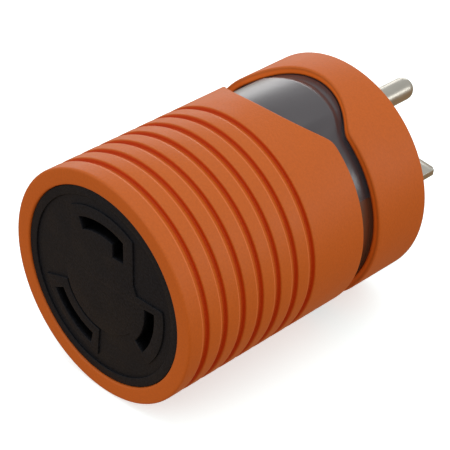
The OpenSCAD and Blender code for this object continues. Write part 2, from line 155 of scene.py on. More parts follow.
def flecks(tree, where, size_mm, detail, rough, colour, dark, light):
    """Crisp grain of a real size, and a colour that it makes darker and lighter."""
    grain = add_node(tree, "ShaderNodeTexNoise", {
        "Vector": where, "Scale": per_size(size_mm), "Detail": detail, "Roughness": rough,
    }, "Fac")
    contrast = add_node(tree, "ShaderNodeMapRange", {
        "Value": grain, "From Min": 0.3, "From Max": 0.7, "To Min": 0.0, "To Max": 1.0,
    }, "Result")
    tone = add_node(tree, "ShaderNodeMix", {
        0: contrast, 6: shade(colour, dark), 7: shade(colour, light),
    }, 2, data_type="RGBA")
    return grain, tone


def distance_from_axis(tree, where):
    """Distance from the barrel's axis."""
    offset = add_node(tree, "ShaderNodeVectorMath", {
        0: where, 1: (0, 0, AXIS_Z)}, "Vector", operation="SUBTRACT")
    across = add_node(tree, "ShaderNodeVectorMath", {
        0: offset, 1: (1, 0, 1)}, "Vector", operation="MULTIPLY")
    return add_node(tree, "ShaderNodeVectorMath", {0: across}, "Value", operation="LENGTH")


def close_to(tree, value, middle, reach, full, top):
    """Mask that is full close to a value and fades to nothing at its reach."""
    off = add_node(tree, "ShaderNodeMath", {0: value, 1: middle}, "Value", operation="SUBTRACT")
    off = add_node(tree, "ShaderNodeMath", {0: off, 1: 0.0}, "Value", operation="ABSOLUTE")
    return add_node(tree, "ShaderNodeMapRange", {
        "Value": off, "From Min": reach, "From Max": full, "To Min": 0.0, "To Max": top,
    }, "Result", interpolation_type="SMOOTHSTEP")


# ---- Materials --------------------------------------------------------------


def vinyl_masks(tree, where, s):
    """Masks for painted shade in the grooves' creases, a painted highlight on their front edges and
    painted bounce light down the shells' other walls.
    """
    along = add_node(tree, "ShaderNodeSeparateXYZ", {"Vector": where}, "Y")
    radius = distance_from_axis(tree, where)
    first_groove = FRONT + s.groove_start
    last_groove = first_groove + s.groove_count * s.groove_pitch
    grooved = add_node(tree, "ShaderNodeMath", {
        0: along, 1: last_groove - 1 * MM}, "Value", operation="LESS_THAN")
    plain = add_node(tree, "ShaderNodeMath", {
        0: 1.0, 1: grooved}, "Value", operation="SUBTRACT")
    past_lip = add_node(tree, "ShaderNodeMath", {
        0: along, 1: first_groove - 1 * MM}, "Value", operation="GREATER_THAN")
    not_end = add_node(tree, "ShaderNodeMath", {
        0: along, 1: REAR - 1 * MM}, "Value", operation="LESS_THAN")
    step = add_node(tree, "ShaderNodeMath", {
        0: along, 1: first_groove}, "Value", operation="SUBTRACT")
    step = add_node(tree, "ShaderNodeMath", {
        0: step, 1: s.groove_pitch}, "Value", operation="FLOORED_MODULO")
    # Painted shade on each groove's far wall, and a painted highlight on its front edge
    at_far_wall = close_to(tree, step, s.groove_width * 0.97, 0.9 * MM, 0.1 * MM, 1.0)
    at_front_edge = close_to(tree, step, 0.1 * MM, 0.35 * MM, 0.1 * MM, 0.6)
    # Where each starts and is full, in mm below the barrel's surface, and how strong it gets
    # The second depth mask places painted bounce light down the shells' walls
    in_groove, down_wall_light = (
        add_node(tree, "ShaderNodeMapRange", {
            "Value": radius, "From Min": BARREL_R - start_mm * MM,
            "From Max": BARREL_R - full_mm * MM, "To Min": 0.0, "To Max": top,
        }, "Result", interpolation_type="SMOOTHSTEP")
        for start_mm, full_mm, top in ((0.08, 0.35, 1.0), (0.3, 0.9, 0.9)))
    masks = []
    for mask, *limits in ((at_far_wall, in_groove, grooved, past_lip),
                          (at_front_edge, grooved), (down_wall_light, plain, not_end)):
        for limit in limits:
            mask = add_node(tree, "ShaderNodeMath", {
                0: mask, 1: limit}, "Value", operation="MULTIPLY")
        masks.append(mask)
    return masks


def moulded_vinyl(name, s):
    """Soft vinyl overmould from a spark-eroded tool: satin, evenly grained, with painted shade,
    highlight and bounce light.
    """
    material, tree, where = new_material(name)
    mottle, even = patches(tree, where, 9.0, 3.0, s.tint, 0.95, 1.05)
    # A real tool grain is near 0.1 mm; 0.45 mm is the finest that still shows
    grain, fleck = flecks(tree, where, 0.45, 2.0, 0.5, s.tint, 0.9, 1.1)
    # Painted shade and bounce light deepen the colour in each groove and down the walls; a painted
    # highlight pales each groove's front edge
    crease_shade, highlighted, wall = vinyl_masks(tree, where, s)
    tone = even
    layers = [(0.5, fleck), (highlighted, shade(s.edge_highlight_tint)), (crease_shade, shade(s.crease_shade_tint)),
              (wall, shade(s.wall_light_tint))]
    for share, layer in layers:
        tone = add_node(tree, "ShaderNodeMix", {
            0: share, 6: tone, 7: layer}, 2, data_type="RGBA")
    satin = add_node(tree, "ShaderNodeMapRange", {
        "Value": mottle, "From Min": 0.3, "From Max": 0.7, "To Min": 0.5, "To Max": 0.6,
    }, "Result")
    return finish_material(material, tree, grain, 0.035, {
        "Base Color": tone, "Roughness": satin, "IOR": 1.52, "Specular IOR Level": 0.3,
    })


def smoked_polycarbonate(name, colour, clearness):
    """Clear polycarbonate dyed smoke grey, from a polished tool: soft sheen under a faint gloss."""
    material, tree, where = new_material(name)
    flow, cloud = patches(tree, where, 6.0, 2.0, colour, 0.92, 1.08)
    return finish_material(material, tree, flow, 0.03, {
        "Base Color": cloud, "Roughness": 0.32, "IOR": 1.58,
        "Transmission Weight": clearness, "Coat Weight": 0.3, "Coat Roughness": 0.22,
    })


def moulded_nylon(name, colour, painted_shade_from=1.0):
    """Glass-filled nylon from a textured tool: dull black, flecked, with painted shade down its
    slots.
    """
    material, tree, where = new_material(name)
    grain, fleck = flecks(tree, where, 0.4, 3.0, 0.65, colour, 0.5, 1.7)
    patch = add_node(tree, "ShaderNodeTexNoise", {
        "Vector": where, "Scale": per_size(5.0), "Detail": 2.0}, "Fac")
    along = add_node(tree, "ShaderNodeSeparateXYZ", {"Vector": where}, "Y")
    # Painted shade: past this depth the colour darkens to a fifth, down the slots
    inside = add_node(tree, "ShaderNodeMapRange", {
        "Value": along, "From Min": painted_shade_from, "From Max": painted_shade_from + 0.35 * MM,
        "To Min": 0.0, "To Max": 1.0,
    }, "Result")
    tone = add_node(tree, "ShaderNodeMix", {
        0: inside, 6: fleck, 7: shade(colour, 0.2)}, 2, data_type="RGBA")
    dull = add_node(tree, "ShaderNodeMapRange", {
        "Value": patch, "From Min": 0.3, "From Max": 0.7, "To Min": 0.46, "To Max": 0.6,
    }, "Result")
    return finish_material(material, tree, grain, 0.09, {
        "Base Color": tone, "Roughness": dull, "IOR": 1.53, "Specular IOR Level": 0.1,
    })


def drawn_metal(name, colour, roughness, line_mm, length_mm):
    """Metal drawn or stamped along the barrel, then plated: soft gloss with fine lines."""
    material, tree, where = new_material(name)
    lengthways = add_node(tree, "ShaderNodeMapping", {
        "Vector": where, "Scale": (1.0, line_mm / length_mm, 1.0)}, "Vector")
    lines = add_node(tree, "ShaderNodeTexNoise", {
        "Vector": lengthways, "Scale": per_size(line_mm), "Detail": 1.0}, "Fac")
    tarnish, tone = patches(tree, where, 3.5, 3.0, colour, 0.86, 1.05)
    gloss = add_node(tree, "ShaderNodeMapRange", {
        "Value": tarnish, "From Min": 0.3, "From Max": 0.7, "To Min": roughness * 0.85,
        "To Max": roughness * 1.25,
    }, "Result")
    return finish_material(material, tree, lines, 0.005, {
        "Base Color": tone, "Metallic": 1.0, "Roughness": gloss,
    })


def extruded_vinyl(name, colour):
    """Wire insulation: smooth extruded vinyl with long faint die lines."""
    material, tree, where = new_material(name)
    line_mm, length_mm = 0.5, 10
    lengthways = add_node(tree, "ShaderNodeMapping", {
        "Vector": where, "Scale": (1.0, line_mm / length_mm, 1.0)}, "Vector")
    lines, tone = patches(tree, lengthways, line_mm, 2.0, colour, 0.9, 1.08)
    return finish_material(material, tree, lines, 0.01, {
        "Base Color": tone, "Roughness": 0.38, "IOR": 1.52,
    })


def solder_mask(name, colour):
    """Glass laminate under green solder mask: smooth lacquer over a woven ground."""
    material, tree, where = new_material(name)
    weave = add_node(tree, "ShaderNodeTexWave", {
        "Vector": where, "Scale": per_size(0.6), "Distortion": 1.0,
    }, "Fac", wave_profile="SIN")
    tone = add_node(tree, "ShaderNodeMix", {
        0: weave, 6: shade(colour, 0.85), 7: shade(colour, 1.15)}, 2, data_type="RGBA")
    return finish_material(material, tree, weave, 0.01, {
        "Base Color": tone, "Roughness": 0.3, "IOR": 1.5,
    })


def banded_lacquer(name, colour, band_colour, centre_y, bands):
    """Lacquered axial part with painted bands across it, placed along the barrel."""
    material, tree, where = new_material(name)
    along = add_node(tree, "ShaderNodeSeparateXYZ", {"Vector": where}, "Y")
    ripple = add_node(tree, "ShaderNodeTexNoise", {
        "Vector": where, "Scale": per_size(0.5), "Detail": 2.0}, "Fac")
    tone = shade(colour)
    for offset_mm in bands:
        band = add_node(tree, "ShaderNodeMath", {
            0: along, 1: centre_y + offset_mm * MM, 2: 0.35 * MM,
        }, "Value", operation="COMPARE")
        tone = add_node(tree, "ShaderNodeMix", {
            0: band, 6: tone, 7: shade(band_colour)}, 2, data_type="RGBA")
    return finish_material(material, tree, ripple, 0.02, {
        "Base Color": tone, "Roughness": 0.3, "IOR": 1.5,
    })


def tinted_epoxy(name, colour):
    """Cast tinted epoxy: a small lamp's clear coloured dome."""
    material, tree, where = new_material(name)
    swirl, tone = patches(tree, where, 1.2, 2.0, colour, 0.9, 1.1)
    return finish_material(material, tree, swirl, 0.01, {
        "Base Color": tone, "Roughness": 0.12, "IOR": 1.54, "Transmission Weight": 0.5,
    })


def painted_floor(name, colour, glow):
    """Matt painted board lit from under: white, with the faintest roller stipple."""
    material, tree, where = new_material(name)
    stipple = add_node(tree, "ShaderNodeTexNoise", {
        "Vector": where, "Scale": per_size(1.5), "Detail": 2.0}, "Fac")
    return finish_material(material, tree, stipple, 0.005, {
        "Base Color": shade(colour), "Roughness": 0.9, "IOR": 1.45, "Specular IOR Level": 0.2,
        "Emission Color": shade(colour), "Emission Strength": glow,
    })


# ---- Mesh building ----------------------------------------------------------


def add_object(name, mesh, material, slot, *nodes):
    """Links a mesh as a piece that rides on the body and stands for CAD nodes."""
    piece = bpy.data.objects.new(name, mesh)
    bpy.context.collection.objects.link(piece)
    mesh.materials.clear()
    mesh.materials.append(material)
    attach(piece, BODY)
    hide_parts(*nodes)
    return piece


def skin(name, rings, looped):
    """Mesh through rings of points with one count; looped joins the last ring to the first."""
    mesh = bpy.data.meshes.new(name)
    count = len(rings[0])
    points = [p for ring in rings for p in ring]
    faces = []
    last = len(rings) if looped else len(rings) - 1
    for i in range(last):
        a, b = i * count, (i + 1) % len(rings) * count
        for j in range(count):
            k = (j + 1) % count
            faces.append((a + j, a + k, b + k, b + j))
    if not looped:
        faces.append(tuple(range(count)))
        faces.append(tuple(range(len(points) - 1, len(points) - count - 1, -1)))
    mesh.from_pydata(points, [], faces)
    tidy_normals(mesh)
    mesh.shade_smooth()
    return mesh


def tidy_normals(mesh):
    """Turns every face outwards."""
    work = bmesh.new()
    work.from_mesh(mesh)
    bmesh.ops.remove_doubles(work, verts=work.verts, dist=1e-7)
    bmesh.ops.recalc_face_normals(work, faces=work.faces)
    work.to_mesh(mesh)
    work.free()


def rounded(corners, steps=5):
    """Turns corners (a, b, radius) of an open outline into points with rounded corners."""
    points = []
    for i, (a, b, radius) in enumerate(corners):
        here = Vector((a, b))
        if radius == 0 or i in (0, len(corners) - 1):
            points.append(here)
            continue
        before = Vector(corners[i - 1][:2]) - here
        after = Vector(corners[i + 1][:2]) - here
        reach = min(radius, before.length * 0.48, after.length * 0.48)
        start, end = here + before.normalized() * reach, here + after.normalized() * reach
        for k in range(steps + 1):
            t = k / steps
            points.append(start * (1 - t) ** 2 + here * 2 * t * (1 - t) + end * t ** 2)
    return points


def hoop(radius, y, columns=COLUMNS):
    """Ring of points round the barrel's axis, starting at the right."""
    turn = math.tau / columns
    return [
        (radius * math.cos(i * turn), y, AXIS_Z + radius * math.sin(i * turn))
        for i in range(columns)
    ]


def hoops(outline, columns=COLUMNS):
    """Rings round the axis for an outline of (distance along the barrel, radius)."""
    return [hoop(p[1], p[0], columns) for p in outline]


class WindowEdge:
    """Edge of a shell, level round the barrel but swept back in a curve over the window."""

    def __init__(self, level, reach, half_angle, side):
        self.level, self.reach, self.half_angle, self.side = level, reach, half_angle, side

    def place(self, angle):
        """Where the edge lies along the barrel, at an angle from the right."""
        off_top = abs(math.remainder(angle - math.pi / 2, math.tau))
        rise = abs(self.reach) * (1 - (off_top / self.half_angle) ** 2.1)
        # The softened corner where the window meets the level edge
        corner = 0.45 * MM
        rise = corner * math.log1p(math.exp(min(rise / corner, 500)))
        return self.level + math.copysign(rise, self.reach)

    def inwards(self, angle):
        """Unit direction from the edge into the shell, along the surface: (round, along)."""
        step = 1e-3
        slope = (self.place(angle + step) - self.place(angle - step)) / (2 * step * BARREL_R)
        size = math.hypot(slope, 1)
        return -self.side * slope / size, self.side / size

    def ring(self, inset, depth, blend_from=None, share=1.0):
        """Ring set back from the edge and sunk below the surface, or part of the way to it."""
        points = []
        radius = BARREL_R - depth
        for i in range(COLUMNS):
            angle = math.tau * i / COLUMNS
            round_way, along = self.inwards(angle)
            y = self.place(angle) + along * inset
            if blend_from is not None:
                y = blend_from + (y - blend_from) * share
            turned = angle + share * round_way * inset / BARREL_R
            points.append((radius * math.cos(turned), y, AXIS_Z + radius * math.sin(turned)))
        return points

    def rounding(self, radius, steps=5):
        """Rings over the edge's rounded corner, from the surface to the wall."""
        return [
            self.ring(radius * (1 - math.sin(t)), radius * (1 - math.cos(t)))
            for t in (math.pi / 2 * k / steps for k in range(steps + 1))
        ]

    def approach(self, start, inset, steps):
        """Rings over the surface from a level ring up to the edge's rounding."""
        return [self.ring(inset, 0, start, k / steps) for k in range(1, steps)]

    def wall(self, rounding, depth):
        """Rings down the edge's wall to the window."""
        return [self.ring(0, rounding + (depth - rounding) * k / 3) for k in range(1, 4)]


# ---- Flat plates with holes -------------------------------------------------


def arc(radius, start, end, steps=24):
    """Points of an arc about the barrel's axis, angles in degrees."""
    return [
        (radius * math.cos(a), radius * math.sin(a))
        for a in (math.radians(start + (end - start) * k / steps) for k in range(steps + 1))
    ]


def full_circle(radius, centre=(0, 0), steps=128):
    """Closed circle about a point."""
    return [
        (centre[0] + radius * math.cos(a), centre[1] + radius * math.sin(a))
        for a in (math.tau * k / steps for k in range(steps))
    ]


def sector(inner, outer, start, end):
    """Closed outline of part of a ring."""
    return arc(outer, start, end) + arc(inner, end, start)


def turned(points, angle):
    """Outline turned about the barrel's axis."""
    c, s = math.cos(angle), math.sin(angle)
    return [(x * c - z * s, x * s + z * c) for x, z in points]


def oblong(centre, width, height):
    """Closed rectangle about a point."""
    x, z, w, h = *centre, width / 2, height / 2
    return [(x - w, z - h), (x + w, z - h), (x + w, z + h), (x - w, z + h)]


def plate(name, outlines, front, back, edge):
    """Mesh of a flat plate: filled outlines with holes, its edges rounded."""
    curve = bpy.data.curves.new(name, "CURVE")
    curve.dimensions = "2D"
    curve.fill_mode = "BOTH"
    for outline in outlines:
        spline = curve.splines.new("POLY")
        spline.points.add(len(outline) - 1)
        for point, (x, z) in zip(spline.points, outline):
            point.co = (x, z, 0, 1)
        spline.use_cyclic_u = True
    curve.extrude = (back - front) / 2 - edge
    curve.bevel_depth = edge
    curve.bevel_resolution = 2
    curve.offset = -edge
    shape = bpy.data.objects.new(name, curve)
    bpy.context.collection.objects.link(shape)
    mesh = bpy.data.meshes.new_from_object(
        shape.evaluated_get(bpy.context.evaluated_depsgraph_get())
    )
    bpy.data.objects.remove(shape)
    mesh.transform(
        Matrix.Translation((0, (front + back) / 2, AXIS_Z)) @ Matrix.Rotation(math.pi / 2, 4, "X")
    )
    tidy_normals(mesh)
    mesh.shade_smooth()
    mesh.set_sharp_from_angle(angle=math.radians(25))
    return mesh


def joined(name, meshes):
    """One mesh from several, and the several are removed."""
    work = bmesh.new()
    for mesh in meshes:
        work.from_mesh(mesh)
        bpy.data.meshes.remove(mesh)
    whole = bpy.data.meshes.new(name)
    work.to_mesh(whole)
    work.free()
    return whole


# ---- Settings ---------------------------------------------------------------


def length(name, description, default_mm):
    """A length property, given in millimetres."""
    return FloatProperty(
        name=name, description=description, default=default_mm * MM, subtype="DISTANCE",
        unit="LENGTH", precision=5,
    )


def colour(name, description, hex_code):
    """A colour property, given as sRGB hex."""
    return FloatVectorProperty(
        name=name, description=description, default=linear(hex_code), subtype="COLOR",
        size=3, min=0, max=1,
    )


class ShellSettings(bpy.types.PropertyGroup):
    """Sizes and colour of the two orange shells."""

    tint: colour("Colour", "Colour of the soft vinyl", "#C05C12")
    # Painted shade and bounce light in the grooves' creases
    crease_shade_tint: colour("Groove colour", "Colour of the soft vinyl deep in a groove", "#C44000")
    # Painted highlight on each groove's front edge
    edge_highlight_tint: colour("Highlight colour", "Colour of the soft vinyl on a rubbed edge", "#E77C46")
    # Painted bounce light down the walls at the window
    wall_light_tint: colour("Wall colour", "Colour of the soft vinyl on the window's wall", "#F0701C")
    groove_count: IntProperty(
        name="Grooves", description="Grooves round the front shell", default=7, min=1, max=7
    )
    groove_pitch: length("Groove pitch", "Distance from one groove to the next", 4.52)
    groove_start: length("Groove start", "Front edge of the first groove", 3.2)
    groove_width: length("Groove width", "Width of a groove at the surface", 1.8)
    groove_depth: length("Groove depth", "Depth of a groove", 0.8)
    window_front: length("Window dip", "How far the window dips into the front shell", 6.4)
    window_rear: length("Window rise", "How far the window rises into the rear shell", 6.1)
    window_half_angle: FloatProperty(
        name="Window half angle", description="Angle from the top to each end of the window",
        default=math.radians(37), subtype="ANGLE", unit="ROTATION",
    )
    edge_round: length("Edge rounding", "Rounding of the shells' edges at the window", 0.4)


class LensSettings(bpy.types.PropertyGroup):
    """Sizes and colour of the smoked body tube."""

    tint: colour("Colour", "Colour of the smoked plastic", "#4A4449")
    backing: colour("Backing", "Colour of the dark paint inside the tube's lower part", "#5A3422")
    wall: length("Wall", "Thickness of the tube", 2.5)
    channel: length("Channel depth", "Depth of the channel between the shells", 2.1)
    pad_gap: length("Pad gap", "Gap between the window's pad and the shells", 0.15)
    pad_round: length("Pad rounding", "Rounding of the pad's edges", 0.35)
    border_share: FloatProperty(
        name="Border share", description="Share of the pad's width in its lower rear border",
        default=0.22, min=0.05, max=0.4, subtype="FACTOR",
    )
    border_drop: FloatProperty(
        name="Border drop", description="Share of the pad's height lost at its rear border",
        default=0.45, min=0, max=1, subtype="FACTOR",
    )
    painted_below: FloatProperty(
        name="Painted below", description="Angle over the side that the dark paint reaches",
        default=math.radians(19), subtype="ANGLE", unit="ROTATION",
    )
    clearness: FloatProperty(
        name="Clearness", description="Share of the light that goes through",
        default=0.4, min=0, max=1, subtype="FACTOR",
    )


class FaceSettings(bpy.types.PropertyGroup):
    """Sizes and colour of the black receptacle face."""

    tint: colour("Colour", "Colour of the black nylon", "#16171B")
    relief: length("Relief", "Height of the rim and the pads", 0.35)
    rim: length("Rim", "Inner radius of the raised rim", 18.2)
    pad: length("Pads", "Outer radius of the raised pads", 16.3)
    hub: length("Hub", "Radius of the raised middle", 9.7)
    slot: length("Slot radius", "Inner radius of the ground and neutral slots", 11.4)
    slot_width: length("Slot width", "Width of every slot", 2.5)
    hot_shift: length("Hot slot shift", "Extra radius of the hot slot", 0.8)
    edge: length("Edge", "Rounding of the plate's edges", 0.12)


class PlugSettings(bpy.types.PropertyGroup):
    """Sizes and colour of the pins and blades."""

    tint: colour("Colour", "Colour of the nickel plate", "#B2AFA5")
    pin_radius: length("Pin radius", "Radius of the ground pin", 2.38)
    root_radius: length("Root radius", "Radius of the ground pin's root", 2.7)
    blade_width: length("Blade width", "Width of a blade", 6.35)
    blade_thickness: length("Blade thickness", "Thickness of a blade", 1.52)
    blade_length: length("Blade length", "Length of a blade beyond the body", 16.1)
    neutral_x: length("Neutral blade", "Distance of the flat blade from the axis", 10.4)
    hot_x: length("Hot blade", "Distance of the upright blade from the axis", 6.35)
    ground_z: length("Ground pin height", "Height of the ground pin above the axis", 10.5)
    drop: length("Blade drop", "Distance from the pin down to the blades", 11.9)
    edge: length("Edge", "Rounding of the blades' edges", 0.15)


class StageSettings(bpy.types.PropertyGroup):
    """Floor, lights and camera."""

    floor_tint: colour("Floor colour", "Colour of the floor", "#EEF9F9")
    floor_glow: FloatProperty(
        name="Floor glow", description="Light that the floor gives by itself", default=0.55,
        min=0, max=1,
    )
    sky: FloatProperty(
        name="Sky", description="Strength of the soft light from above", default=0.79,
        min=0, max=5,
    )
    ground: FloatProperty(
        name="Ground", description="Strength of the warm light from below", default=0.45,
        min=0, max=5,
    )
    ground_tint: colour("Ground colour", "Colour of the warm light from below", "#FFD6AA")
    key_power: FloatProperty(
        name="Key light", description="Power of the large light above", default=1.9,
        min=0, max=100, unit="POWER",
    )
    back_power: FloatProperty(
        name="Back light", description="Power of the panel behind and to the left",
        default=5.6, min=0, max=100, unit="POWER",
    )
    fill_power: FloatProperty(
        name="Fill light", description="Power of the light at the right rear", default=2.7,
        min=0, max=100, unit="POWER",
    )
    front_power: FloatProperty(
        name="Front light", description="Power of the light at the front left", default=2.8,
        min=0, max=100, unit="POWER",
    )
    lens: FloatProperty(
        name="Lens", description="Focal length on a 36 mm sensor", default=140.1,
        min=10, max=400, unit="CAMERA",
    )


# ---- Operators --------------------------------------------------------------


class ADAPTER_OT_shells(bpy.types.Operator):
    """Makes the grooved front shell and the rear shell"""

    bl_idname = "adapter.shells"
    bl_label = "Shells"

    def execute(self, context):
        s = context.scene.adapter_shells
        vinyl = moulded_vinyl("moulded_soft_vinyl", s)
        self.front_shell(s, vinyl)
        self.rear_shell(s, vinyl)
        return {"FINISHED"}

    def front_shell(self, s, vinyl):
        """Front lip, grooves and window edge as one closed skin."""
        lip_r = FACE_R + TOUCH
        lip_back = LENS_LOW.y - TOUCH
        outline = [
            (lip_back, lip_r, 0), (FRONT, lip_r, 0.45 * MM), (FRONT, BARREL_R, 0.5 * MM),
        ]
        for i in range(s.groove_count):
            start = FRONT + s.groove_start + i * s.groove_pitch
            foot = BARREL_R - s.groove_depth
            # A long slope down from the front edge, a short floor and a steep far wall
            outline += [
                (start, BARREL_R, 0.3 * MM), (start + s.groove_width * 0.74, foot, 0.35 * MM),
                (start + s.groove_width * 0.96, foot, 0.08 * MM),
                (start + s.groove_width, BARREL_R, 0.25 * MM),
            ]
        smooth_from = start + s.groove_width + 1.5 * MM
        outline.append((smooth_from, BARREL_R, 0))
        edge = WindowEdge(SLEEVE_HIGH.y, -s.window_front, s.window_half_angle, -1)
        bore = [hoop(LENS_R + TOUCH, y) for y in (smooth_from, lip_back)]
        rings = (
            hoops(rounded(outline)) + edge.approach(smooth_from, s.edge_round, 16)
            + edge.rounding(s.edge_round) + edge.wall(s.edge_round, SKIN) + bore
        )
        add_object("front_shell", skin("front_shell", rings, True), vinyl, "orange_shell",
                   "grip_sleeve")

    def rear_shell(self, s, vinyl):
        """Window edge, plain band and rounded rear end as one closed skin."""
        edge = WindowEdge(COLLAR_LOW.y, s.window_rear, s.window_half_angle, 1)
        level = REAR - 2.5 * MM
        lip_front = LENS_HIGH.y + TOUCH
        outline = [
            (level, BARREL_R, 0), (REAR, BARREL_R, 0.5 * MM),
            (REAR, CORE_R + TOUCH, 0.4 * MM), (lip_front, CORE_R + TOUCH, 0),
            (lip_front, LENS_R + TOUCH, 0),
        ]
        rings = list(reversed(edge.wall(s.edge_round, SKIN)))
        rings += list(reversed(edge.rounding(s.edge_round)))
        rings += list(reversed(edge.approach(level, s.edge_round, 12)))
        rings += hoops(rounded(outline))
        add_object("rear_shell", skin("rear_shell", rings, True), vinyl, "orange_shell",
                   "rear_collar")


class ADAPTER_OT_lens(bpy.types.Operator):
    """Makes the smoked body tube that shows at the window"""

    bl_idname = "adapter.lens"
    bl_label = "Window tube"

    def execute(self, context):
        s = context.scene.adapter_lens
        shells = context.scene.adapter_shells
        half = shells.window_half_angle
        front = WindowEdge(SLEEVE_HIGH.y, -shells.window_front, half, -1)
        rear = WindowEdge(COLLAR_LOW.y, shells.window_rear, half, 1)
        meshes = [self.tube(s, front, rear), self.pad(s, front, rear, half)]
        whole = joined("window_tube", meshes)
        whole.set_sharp_from_angle(angle=math.radians(50))
        smoke = smoked_polycarbonate("polished_smoked_polycarbonate", s.tint, s.clearness)
        piece = add_object("window_tube", whole, smoke, "smoked_clear", "lens_body")
        dark = smoked_polycarbonate("back_painted_polycarbonate", s.backing, 0)
        piece.data.materials.append(dark)
        for face in piece.data.polygons:
            middle = face.center
            height = math.atan2(middle.z - AXIS_Z, abs(middle.x))
            face.material_index = int(height < s.painted_below)
        return {"FINISHED"}

    def tube(self, s, front, rear):
        """Tube with the channel between the shells, which widens under the window."""
        low, high, inner = LENS_LOW.y, LENS_HIGH.y, LENS_R - s.wall
        step = BARREL_R - LENS_R
        rings = hoops([(low, inner), (low, LENS_R)])
        rings += [front.ring(0, step), front.ring(0, s.channel)]
        rings += [rear.ring(0, s.channel), rear.ring(0, step)]
        rings += hoops([(high, LENS_R), (high, inner)])
        return skin("tube", rings, True)

    def pad(self, s, front, rear, half):
        """Raised pad that fills the window and slopes into the channel at its ends."""
        floor = BARREL_R - s.channel
        steps = 96
        # Share of the window's half angle at which the pad starts to slope down
        slope_from = 0.62
        rings = []
        for i in range(steps + 1):
            off_top = half * (2 * i / steps - 1)
            angle = math.pi / 2 - off_top
            fade = min(max((abs(off_top) / half - slope_from) / (1 - slope_from), 0), 1)
            top = PAD_R - (PAD_R - floor) * fade * fade * (3 - 2 * fade)
            low = front.place(angle) + s.pad_gap
            high = rear.place(angle) - s.pad_gap
            border = (high - low) * s.border_share
            kerb = top - (top - floor) * s.border_drop
            section = rounded([
                (low, floor - 0.3 * MM, 0), (low, top, s.pad_round),
                (high - border, top, 0.5 * MM), (high - border * 0.6, kerb, 0.4 * MM),
                (high, kerb, 0.2 * MM), (high, floor - 0.3 * MM, 0),
            ])
            rings.append([
                (r * math.cos(angle), y, AXIS_Z + r * math.sin(angle)) for y, r in section
            ])
        return skin("pad", rings, False)


class ADAPTER_OT_receptacle(bpy.types.Operator):
    """Makes the black face with its rim, raised pads and three slots"""

    bl_idname = "adapter.receptacle"
    bl_label = "Receptacle face"

    def execute(self, context):
        s = context.scene.adapter_face
        top = FACE_LOW.y
        floor = top + s.relief
        flange_back = LENS_LOW.y - TOUCH
        slots = self.slots(s)
        island = self.island(s)
        hot_pad = sector(s.hub + 0.4 * MM, s.pad, *HOT_PAD)
        layers = [
            plate("floor", [full_circle(FACE_R)] + slots, floor, flange_back, s.edge),
            plate("skirt", [full_circle(CORE_R)] + slots, flange_back - s.edge, FACE_HIGH.y,
                  s.edge),
            plate("rim", [full_circle(FACE_R), full_circle(s.rim)], top, floor + s.relief,
                  s.edge),
            plate("island", [island, slots[0], slots[1]], top, floor + s.relief, s.edge),
            plate("hot_pad", [hot_pad, slots[2]], top, floor + s.relief, s.edge),
        ]
        # Painted shade down the slots starts just behind the face's floor level
        nylon = moulded_nylon("moulded_black_nylon", s.tint, floor + 0.1 * MM)
        add_object("receptacle_plate", joined("receptacle_plate", layers), nylon, "black_nylon",
                   "receptacle_face")
        return {"FINISHED"}

    def slots(self, s):
        """Ground slot with its inward hook, neutral slot and hot slot."""
        inner, outer = s.slot, s.slot + s.slot_width
        hook_left, hook_right, hook_bottom = 3.2 * MM, 6 * MM, 8.2 * MM
        ground_end = sum(GROUND_SLOT)
        ground = arc(outer, math.degrees(math.acos(hook_right / outer)), ground_end)
        ground += arc(inner, ground_end, math.degrees(math.acos(hook_left / inner)))
        ground += [(hook_left, hook_bottom), (hook_right, hook_bottom)]
        neutral = sector(inner, outer, *self.ends(NEUTRAL_SLOT))
        hot = sector(inner + s.hot_shift, outer + s.hot_shift, *self.ends(HOT_SLOT))
        return [ground, neutral, hot]

    def ends(self, slot):
        """Start and end of a slot, in degrees."""
        middle, half = slot
        return middle - half, middle + half

    def island(self, s):
        """Raised middle with the ground pad above it and the neutral pad at its right."""
        left, right, shelf = -8 * MM, 8.5 * MM, 2.8 * MM
        lower_end = -42

        def across(x, radius):
            return math.degrees(math.acos(x / radius))

        def above(z, radius):
            return math.degrees(math.asin(z / radius))

        outline = arc(s.pad, across(right, s.pad), across(left, s.pad))
        outline += arc(s.hub, across(left, s.hub), 360 + lower_end, 48)
        outline += arc(s.pad, lower_end, above(shelf, s.pad))
        outline += arc(s.hub, above(shelf, s.hub), across(right, s.hub), 6)
        return outline


